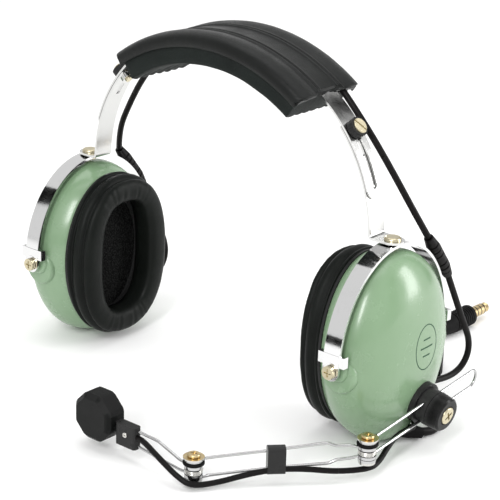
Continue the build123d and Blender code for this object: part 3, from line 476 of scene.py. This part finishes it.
route = lead + coil_points() + tail
cord_curve = bpy.data.curves.new("main_cord", "CURVE")
cord_curve.dimensions = "3D"
cord_spline = cord_curve.splines.new("NURBS")
cord_spline.points.add(len(route) - 1)
for target, p in zip(cord_spline.points, route):
    target.co = (*at(*p), 1.0)
cord_spline.order_u = 3
cord_spline.use_endpoint_u = True
cord_spline.resolution_u = 6
cord_curve.bevel_depth = CORD_R / 1000
cord_curve.bevel_resolution = 5
cord_curve.use_fill_caps = True
main_cord = bpy.data.objects.new("main_cord", cord_curve)
bpy.context.scene.collection.objects.link(main_cord)
cord_curve.materials.append(MATERIALS["cord_rubber"])
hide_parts("main_cord_lead", "main_cord_coil", "main_cord_tail")
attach(main_cord, "left_cup")

tie_angle = radians(20.0)
tie_profile = [(OUTER_R + 2.9, 0.4), (OUTER_R + 2.9, 18.4), (OUTER_R + 1.6, 19.0), (INNER_R - 1.4, 19.0)]
tie_profile += [(INNER_R - 2.8, 18.2), (INNER_R - 2.8, 0.5), (INNER_R - 1.6, 0.03), (OUTER_R + 1.7, 0.03)]
tie_points = []
for half in (-3.0, -1.0, 1.0, 3.0):
    for r, z in tie_profile:
        x = COIL[0] + r * cos(tie_angle) - half * sin(tie_angle)
        y = COIL[1] + r * sin(tie_angle) + half * cos(tie_angle)
        tie_points.append((x, y, z))
cord_tie = recalculate(mesh_object("cord_tie", tie_points, ring_faces(4, len(tie_profile)), "rubber"))
modifier(cord_tie, "SOLIDIFY", thickness=0.0003, offset=-1.0)
modifier(cord_tie, "BEVEL", width=0.0002, segments=2)
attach(cord_tie, "left_cup")

# ---------------------------------------------------------------- crossover cord and microphone cable
RELIEF_TOP = (CUP_X + 3.4, 28.0, 106.6)
RELIEF_END = (CUP_X + 3.4, 49.0, 80.6)
for side, g in (("left", 1), ("right", -1)):
    upper = [(63.2, 14.0, 180.0), (82.0, 15.0, 160.0), (96.0, 18.0, 140.5), (108.0, 21.5, 121.5), RELIEF_TOP]
    upper = [(58.0, 14.0, 184.0)] + upper
    upper = [(g * x, y, z) for x, y, z in upper]
    upper_names = [side + "_crossover_near_pad", side + "_crossover_near_cup"]
    upper_cuts = [(g * 90.0, 16.5, 149.0)]
    (near_pad, near_cup), stops = cut_tube(upper, CORD_D, upper_cuts, upper_names, "cord_rubber")
    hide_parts(side + "_crossover_upper")
    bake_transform(near_pad)
    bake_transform(near_cup)
    lower = [
        RELIEF_END,
        (115.5, 56.0, 66.0),
        (116.0, 64.5, 50.0),
        (116.5, 72.0, 37.5),
        (116.0, 73.5, 27.5),
        (115.0, 69.0, 20.0),
        (114.0, 60.5, 17.2),
        (113.0, 48.0, 18.0),
        (CUP_X + 1.0, 31.5, 20.5),
    ]
    lower = [(g * x, y, z) for x, y, z in lower]
    (loop,), stops = cut_tube(lower, CORD_D, [], [side + "_crossover_loop"], "cord_rubber")
    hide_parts(side + "_crossover_lower")
    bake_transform(loop)

dip, rise = radians(9.0), radians(6.7)
boom_n = Vector((cos(dip), 0, -sin(dip)))
boom_u = Vector((sin(dip), 0, cos(dip)))
boom_d = boom_u * sin(rise) + Vector((0, cos(rise), 0))
SEAT = Vector((CUP_X + 18.3, 7.0, 24.5))
E1 = SEAT - boom_d * 53.9 + boom_n * 7.5
E2 = Vector((76.0, -111.0, 0.0))
span = Vector((E2.x - E1.x, E2.y - E1.y, 0)).normalized()
aside = Vector((-span.y, span.x, 0))


def on_span(s, z, off=0.0):
    p = Vector((E1.x, E1.y, 0)) + span * s + aside * off
    return (p.x, p.y, z)


cable = [
    (122.8, 11.5, 10.4),
    (130.0, 4.5, 10.6),
    (132.2, -6.0, 13.4),
    (132.4, -17.0, 13.4),
    (133.8, -27.0, 9.9),
    (136.0, -36.0, 6.8),
    (E1.x + 1.5, E1.y + 1.0, 6.4),
    on_span(16.0, 6.6, 2.7),
    on_span(31.0, 8.6, 2.7),
    on_span(46.5, 8.9, 2.7),
    on_span(61.0, 6.6, 3.1),
    on_span(76.0, 3.4, 4.9),
    (80.5, -117.6, 3.2),
    (72.5, -119.8, 6.8),
    (62.0, -119.4, 11.4),
    (52.0, -117.6, 14.4),
    (45.0, -115.2, 15.0),
    (40.0, -113.9, 14.6),
    (35.5, -113.7, 14.5),
]
cable_cuts = [
    (131.6, -2.0, 12.6),
    (135.0, -32.0, 8.2),
    on_span(14.0, 6.6, 2.7),
    on_span(70.0, 4.6, 3.6),
    (62.0, -119.4, 11.2),
]
cable_names = [
    "mic_cable_cup",
    "mic_cable_clamp",
    "mic_cable_first_elbow",
    "mic_cable_middle_run",
    "mic_cable_second_elbow",
    "mic_cable_front_run",
]
cable_pieces, stops = cut_tube(cable, MIC_CABLE_D, cable_cuts, cable_names, "cord_rubber")
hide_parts("mic_cable_rear")
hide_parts("mic_cable_middle")
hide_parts("mic_cable_front")
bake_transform(cable_pieces[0])
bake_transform(cable_pieces[1])
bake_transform(cable_pieces[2])
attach(cable_pieces[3], "middle_boom")
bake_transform(cable_pieces[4])
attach(cable_pieces[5], "front_boom")


# ---------------------------------------------------------------- ear cups
def cup_ring(g, x, b, c, count, squareness=2.0, wobble=None):
    points = []
    for j in range(count):
        a = 2 * pi * j / count
        ca, sa = cos(a), sin(a)
        y = b * math.copysign(abs(ca) ** (2 / squareness), ca)
        z = c * math.copysign(abs(sa) ** (2 / squareness), sa)
        extra = wobble(a) if wobble else 0.0
        points.append((g * (x + extra), y, CUP_Z + z))
    return points


def dome_shell(side, g):
    count = 160
    rings = [cup_ring(g, CUP_X - NECK_DEPTH + 4, 32.0, 44.5, count)]
    for b, c in ((33.3, 45.8), (35.0, 47.5)):
        rings.append(cup_ring(g, CUP_X - NECK_DEPTH, b, c, count))
    for i in range(15):
        t = -NECK_DEPTH + 0.35 + (NECK_DEPTH - 0.35) * i / 15
        q = (t / NECK_DEPTH) ** 2
        rings.append(cup_ring(g, CUP_X + t, HALF_B - 6.5 * q, HALF_C - 5.0 * q, count))
    for i in range(34):
        a = 0.5 * pi * i / 34.4
        t, shrink = DOME_DEPTH * sin(a) ** (2 / SQUARENESS), cos(a) ** (2 / SQUARENESS)
        rings.append(cup_ring(g, CUP_X + t, HALF_B * shrink, HALF_C * shrink, count))
    points = [p for ring in rings for p in ring]
    faces = ring_faces(len(rings), count)
    faces.append(tuple(range((len(rings) - 1) * count, len(rings) * count)))
    shell = recalculate(mesh_object(side + "_shell", points, faces, "green_shell"))
    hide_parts(side + "_dome")
    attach(shell, side + "_cup")
    for end in (1, -1):
        for label, dz, r, face in (("pivot_pad", 0.0, 7.0, 44.3), ("pivot_step", -3.6, 10.2, 42.4)):
            profile = [(34.0, r + 0.8), (face - 2.2, r + 0.3), (face - 0.9, r)]
            profile += [(face - 0.25, r - 0.5), (face, r - 1.3), (face, 1.0)]
            pad = lathe(
                f"{side}_{label}_{'back' if end > 0 else 'front'}",
                (g * CUP_X, 0, PIVOT_Z + dz),
                (0, end, 0),
                profile,
                "green_shell",
            )
            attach(pad, side + "_cup")


def seal_profile():
    """Across the seal from its flange to the wall of its opening: distance from the seal's face, half width,
    half height, squareness of the outline there."""
    return [
        (15.15, 34.6, 47.6, 2.1),
        (15.1, 36.0, 48.9, 2.1),
        (14.5, 36.5, 49.3, 2.1),
        (13.8, 36.4, 49.2, 2.1),
        (13.3, 35.6, 48.4, 2.1),
        (12.9, 34.4, 47.3, 2.12),
        (12.2, 34.5, 47.4, 2.15),
        (10.8, 35.7, 48.5, 2.2),
        (9.2, 36.3, 49.0, 2.2),
        (7.6, 36.1, 48.8, 2.22),
        (6.3, 35.2, 48.0, 2.25),
        (5.5, 33.8, 46.7, 2.3),
        (5.1, 32.9, 45.9, 2.3),
        (4.6, 33.3, 46.3, 2.3),
        (3.5, 34.0, 46.9, 2.3),
        (2.2, 33.8, 46.7, 2.3),
        (1.0, 32.6, 45.6, 2.3),
        (0.25, 30.6, 43.8, 2.35),
        (0.0, 27.6, 41.0, 2.45),
        (0.05, 24.6, 38.3, 2.55),
        (0.5, 22.2, 36.1, 2.65),
        (1.5, 20.5, 34.5, 2.75),
        (3.2, 19.7, 33.8, 2.8),
        (6.5, 19.6, 33.6, 2.8),
        (10.5, 20.0, 34.0, 2.8),
        (14.8, 20.8, 34.8, 2.7),
    ]


def ear_cushion(side, g):
    count = 200
    rings = []
    for step, (depth, b, c, squareness) in enumerate(seal_profile()):
        face = max(0.0, 1.0 - abs(depth - 0.6) / 3.2)
        crease = 1.0 if 4.4 < depth < 6.6 and step < 16 else 0.0

        def wobble(a, face=face, crease=crease):
            ends = abs(sin(a)) ** 5
            p = Vector((cos(a) * 2.2, sin(a) * 2.6, depth * 0.08 + (7 if g > 0 else 0)))
            pleats = (0.16 * sin(38 * a + 3 * noise.noise(p * 1.4)) + 0.10 * sin(61 * a + 1)) * ends * face
            return pleats + 0.28 * noise.noise(p * 2.0) * (face + crease)

        rings.append(cup_ring(g, SEAL_X + depth, b, c, count, squareness, wobble))
    points = [p for ring in rings for p in ring]
    faces = ring_faces(len(rings), count, closed_rings=True)
    seal = recalculate(mesh_object(side + "_ear_cushion", points, faces, "seal_vinyl"))
    return seal


FOAM_FACE_X, FOAM_BACK_X = 95.1, 98.6
FOAM_B, FOAM_C = 30.6, 42.6


def foam_pad(side, g):
    count, steps = 96, 26
    points = []
    for k in range(steps + 1):
        share = 1.0 - k / (steps + 0.6)
        for j in range(count):
            a = 2 * pi * j / count
            y, z = FOAM_B * share * cos(a), FOAM_C * share * sin(a)
            crown = 1.3 * (1 - share * share)
            rough = 0.35 * noise.noise(Vector((y, z, 3.0 * g)) * 0.35)
            rough += 0.22 * noise.noise(Vector((y, z, g)) * 0.9)
            points.append((g * (FOAM_FACE_X - crown + rough * (1 if share < 0.97 else 0)), y, CUP_Z + z))
    angles = [2 * pi * j / count for j in range(count)]
    back = [(g * FOAM_BACK_X, FOAM_B * cos(a), CUP_Z + FOAM_C * sin(a)) for a in angles]
    points = back + points
    faces = ring_faces(steps + 2, count)
    faces += [tuple(range(count)), tuple(range((steps + 1) * count, (steps + 2) * count))]
    pad = recalculate(mesh_object(side + "_foam", points, faces, "foam"))
    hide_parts(side + "_foam_liner")
    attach(pad, side + "_cup")


for side, g in (("left", 1), ("right", -1)):
    dome_shell(side, g)
    seal = ear_cushion(side, g)
    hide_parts(side + "_ear_seal")
    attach(seal, side + "_cup")
    foam_pad(side, g)


# ---------------------------------------------------------------- headband cover and pad
def crown(a, y, r):
    return (r * sin(a), y, TOP_Z + r * cos(a))


def both_halves(half):
    """A loop from its right half, top middle to bottom middle, mirrored to the other side."""
    return half + [(-y, r) for y, r in reversed(half) if abs(y) > 1e-6]


COVER_TOP = [
    (0.0, 114.15),
    (2.8, 114.15),
    (5.3, 114.2),
    (5.9, 114.35),
    (6.3, 114.95),
    (7.0, 115.15),
    (7.6, 114.9),
    (7.95, 114.3),
    (8.4, 114.25),
    (8.8, 114.5),
    (9.2, 115.05),
    (9.9, 115.15),
    (10.5, 114.8),
    (11.0, 114.45),
    (12.2, 114.7),
    (14.0, 115.25),
    (16.5, 115.6),
    (19.0, 115.55),
    (21.2, 115.1),
    (23.2, 114.35),
    (24.6, 113.2),
    (25.35, 111.6),
    (25.6, 109.8),
    (25.5, 108.2),
    (25.1, 107.1),
    (24.6, 107.0),
    (24.3, 107.8),
    (24.2, 109.6),
    (24.1, 111.6),
    (23.6, 112.5),
    (21.0, 112.8),
    (12.0, 112.8),
    (0.0, 112.8),
]


def cover_piece():
    loop = both_halves(COVER_TOP)
    steps = 90
    rings = []
    for i in range(-4, steps + 5):
        share = min(1.0, max(0.0, i / steps))
        over = (-i if i < 0 else (i - steps if i > steps else 0)) / 4.0
        ring = []
        for y, r in loop:
            side_lobe = max(0.0, 1.0 - ((abs(y) - 17.5) / 8.3) ** 2) if abs(y) > 9.2 else 0.0
            reach = radians(CROWN_ANGLE - 0.9 + 1.9 * math.sqrt(side_lobe))
            a = -reach + 2 * reach * share
            taper = 1.0 - 0.86 * (1 - math.sqrt(max(0.0, 1 - over * over))) if over else 1.0
            a += math.copysign(radians(0.34) * math.sin(over * pi / 2), a) if over else 0.0
            middle = 113.3 if abs(y) < 23.8 else 110.2
            rr = middle + (r - middle) * taper
            sway = 0.10 * noise.noise(Vector((y * 0.12, a * 14, 0.3)))
            sway += 0.05 * noise.noise(Vector((y * 0.4, a * 60, 2.0)))
            rr += sway * (1 if r > 113.5 else 0)
            ring.append(crown(a, y, rr))
        rings.append(ring)
    count = len(loop)
    points = [p for ring in rings for p in ring]
    faces = ring_faces(len(rings), count)
    faces += [tuple(range(count)), tuple(range((len(rings) - 1) * count, len(rings) * count))]
    cover = recalculate(mesh_object("cover_skin", points, faces, "cover_vinyl"))
    modifier(cover, "SUBSURF", levels=1, render_levels=1)
    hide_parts("headband_cover")
    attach(cover, "headband")


PAD_RIBS = 7


def pad_loop():
    """The pad's cross-section: flat on top, its sides a little hollow, long ribs under it."""
    half = [(0.0, 111.2), (10.0, 111.2), (20.0, 111.2), (22.2, 110.9), (22.9, 110.2), (23.0, 108.5)]
    half += [(22.8, 106.0), (22.7, 103.5), (22.9, 101.2), (23.0, 99.6), (22.7, 98.4), (22.1, 97.7)]
    steps = 40
    for i in range(1, steps + 1):
        y = 22.1 * (1 - i / steps)
        rib = abs(cos(pi * PAD_RIBS * y / 44.2))
        half.append((y, 98.25 - 1.25 * rib ** 0.6))
    return both_halves(half)


def pad_piece():
    loop = pad_loop()
    steps = 72
    reach = radians(CROWN_ANGLE - 0.6)
    rings = []
    for i in range(-3, steps + 4):
        share = min(1.0, max(0.0, i / steps))
        over = (-i if i < 0 else (i - steps if i > steps else 0)) / 3.0
        a = -reach + 2 * reach * share
        a += math.copysign(radians(0.25) * over, a) if over else 0.0
        ring = []
        for y, r in loop:
            y2, r2 = y, r
            if over:
                y2 = y * (1 - 0.05 * over * over)
                r2 = 104.5 + (r - 104.5) * (1 - 0.10 * over * over)
            dent = 0.35 * noise.noise(Vector((y * 0.09, a * 7, r * 0.08)))
            ring.append(crown(a, y2 + (0.5 * dent if abs(y) > 22 else 0), r2 + (dent if r < 103 else 0)))
        rings.append(ring)
    count = len(loop)
    points = [p for ring in rings for p in ring]
    faces = ring_faces(len(rings), count)
    faces += [tuple(range(count)), tuple(range((len(rings) - 1) * count, len(rings) * count))]
    pad = recalculate(mesh_object("pad_skin", points, faces, "pad_vinyl"))
    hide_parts("head_pad")
    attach(pad, "headband")


cover_piece()
pad_piece()

# ---------------------------------------------------------------- microphone
MIC_EDGE = {"width": 0.0011, "segments": 4, "limit_method": "ANGLE", "angle_limit": radians(25)}
modifier(nodes["mic_housing"], "BEVEL", **MIC_EDGE)

# ---------------------------------------------------------------- small metal details
FIRST_TOP, SECOND_TOP = 25.62, 17.6
SPRING_LAYER = (7.75, 11.05)


SPRING_TURNS, STEPS_PER_TURN = 4, 28
SPRING_R, SPRING_WIRE_R = 4.45, 0.42
CORE_R = 3.7


def wound_spring(name, x, y, top, body, replaced):
    """An elbow's coil spring, wound round a dark core, in the layer under the upper eyes."""
    line = []
    wire = SPRING_WIRE_R
    z_high, z_low = top - SPRING_LAYER[0] - wire, top - SPRING_LAYER[1] + wire
    for i in range(SPRING_TURNS * STEPS_PER_TURN + 1):
        share = i / (SPRING_TURNS * STEPS_PER_TURN)
        a = 2 * pi * SPRING_TURNS * share
        r = SPRING_R - 0.25 * share
        line.append(at(x + r * cos(a), y + r * sin(a), z_high + (z_low - z_high) * share))
    spring = from_rings(name, sweep_rings(line, wire / 1000, 10), "nickel")
    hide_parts(replaced)
    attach(spring, body)
    core_profile = [(-0.3, CORE_R), (z_high - z_low + 0.3, CORE_R)]
    core = lathe(name + "_core", (x, y, z_low), (0, 0, 1), core_profile, "rubber", 32)
    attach(core, body)


wound_spring("first_wound_spring", E1.x, E1.y, FIRST_TOP, "middle_boom", "first_elbow_spring")
wound_spring("second_wound_spring", E2.x, E2.y, SECOND_TOP, "front_boom", "second_elbow_spring")

HEAD_HEIGHT, FOOT_HEIGHT = 1.85, 1.95
for label, top in (("first_elbow_screw", FIRST_TOP), ("second_elbow_screw", SECOND_TOP)):
    rubber_foot = label.startswith("second")
    mesh = nodes[label].data
    mesh.materials.append(MATERIALS["nickel"])
    mesh.materials.append(MATERIALS["rubber"])
    for face in mesh.polygons:
        z = face.center.z * 1000
        face.material_index = 0 if z > top - HEAD_HEIGHT else (2 if rubber_foot and z < FOOT_HEIGHT else 1)


def dome_x(y, z):
    """How far out the left shell's face is at a place on it."""
    rho = math.hypot(y / HALF_B, (z - CUP_Z) / HALF_C)
    return CUP_X + DOME_DEPTH * max(0.0, 1 - rho**SQUARENESS) ** (1 / SQUARENESS)


def printed_strip(name, line, width, closed=False):
    """A printed line lying on the left shell, from points (y, z)."""
    points, faces = [], []
    count = len(line)
    for i, (y, z) in enumerate(line):
        y0, z0 = line[(i - 1) % count if closed else max(i - 1, 0)]
        y1, z1 = line[(i + 1) % count if closed else min(i + 1, count - 1)]
        dy, dz = y1 - y0, z1 - z0
        size = math.hypot(dy, dz)
        for s in (-1, 1):
            py, pz = y - s * dz / size * width / 2, z + s * dy / size * width / 2
            points.append((dome_x(py, pz) + 0.05, py, pz))
    for i in range(count if closed else count - 1):
        k = (i + 1) % count
        faces.append((2 * i, 2 * i + 1, 2 * k + 1, 2 * k))
    strip = mesh_object(name, points, faces, "dark_ink")
    modifier(strip, "SOLIDIFY", thickness=0.00003, offset=1.0)
    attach(strip, "left_cup")


MARK_Y, MARK_Z = 5.5, 56.5
ring = [(MARK_Y + 9.6 * cos(2 * pi * i / 72), MARK_Z + 12.4 * sin(2 * pi * i / 72)) for i in range(72)]
printed_strip("mark_ring", ring, 0.55, closed=True)
for k, half in enumerate((3.2, 5.6, 3.2)):
    z = MARK_Z + (k - 1) * 4.6
    printed_strip(f"mark_bar_{k + 1}", [(MARK_Y - half + 2 * half * i / 12, z) for i in range(13)], 0.8)

# ---------------------------------------------------------------- floor, light and finish
bpy.context.scene.render.film_transparent = False


def stage_plane(name, size, place, material, hidden=False):
    """A flat panel that is part of the stage, not of the headset; size is its two sides in metres."""
    mesh = bpy.data.meshes.new(name)
    a, b = size[0] / 2, size[1] / 2
    mesh.from_pydata([(-a, -b, 0), (a, -b, 0), (a, b, 0), (-a, b, 0)], [], [(0, 1, 2, 3)])
    obj = bpy.data.objects.new(name, mesh)
    bpy.context.scene.collection.objects.link(obj)
    obj.location = place
    obj.data.materials.append(material)
    obj.visible_camera = not hidden
    return obj


floor_material, _, floor_shader = new_material("floor")
floor_shader.inputs["Base Color"].default_value = (0.93, 0.93, 0.925, 1)
floor_shader.inputs["Roughness"].default_value = 0.75
floor_shader.inputs["Specular IOR Level"].default_value = 0.1
stage_plane("floor", (40.0, 40.0), (0, 0, 0), floor_material)


def facing(place, aim):
    """The turn that points a panel or a light at place towards aim."""
    return (Vector(aim) - Vector(place)).to_track_quat("-Z", "Y").to_euler()


def card(name, place, aim, size):
    """A dark panel that only shows as a reflection in the bright metal."""
    m, _, shader = new_material(name)
    shader.inputs["Base Color"].default_value = (0.004, 0.004, 0.004, 1)
    shader.inputs["Roughness"].default_value = 1.0
    shader.inputs["Specular IOR Level"].default_value = 0.0
    obj = stage_plane(name, size, place, m, hidden=True)
    obj.rotation_euler = facing(place, aim)
    obj.visible_diffuse = False
    obj.visible_shadow = False
    obj.visible_transmission = False


card("card_low", (0.1, -1.1, 0.05), (0, 0, 0.1), (1.8, 0.22))
card("card_right", (1.3, 0.35, 0.5), (0, 0, 0.1), (0.30, 1.4))
card("card_back", (0.35, 1.3, 0.5), (0, 0, 0.1), (0.35, 1.4))
card("card_left", (-1.2, -0.7, 0.45), (0, 0, 0.1), (0.28, 1.3))
card("card_top", (-0.25, -0.45, 1.3), (0, 0, 0.1), (0.30, 1.2))


def area(name, place, aim, size, power):
    """A soft rectangular light."""
    data = bpy.data.lights.new(name, "AREA")
    data.shape = "RECTANGLE"
    data.size, data.size_y = size
    data.energy = power
    obj = bpy.data.objects.new(name, data)
    bpy.context.scene.collection.objects.link(obj)
    obj.location = place
    obj.rotation_euler = facing(place, aim)


area("key", (0.55, -1.35, 1.05), (0.05, 0, 0.08), (0.28, 0.9), 15.0)
area("rim", (1.15, 1.05, 0.6), (0.05, 0, 0.08), (0.4, 1.1), 14.0)
area("top", (-0.1, 0.1, 1.7), (0, 0, 0.05), (1.3, 1.3), 9.0)

world = bpy.data.worlds.new("world")
bpy.context.scene.world = world
world.use_nodes = True
background = world.node_tree.nodes["Background"]
background.inputs["Color"].default_value = (1.0, 1.0, 1.0, 1)
background.inputs["Strength"].default_value = 0.85
bpy.context.scene.view_settings.view_transform = "Standard"
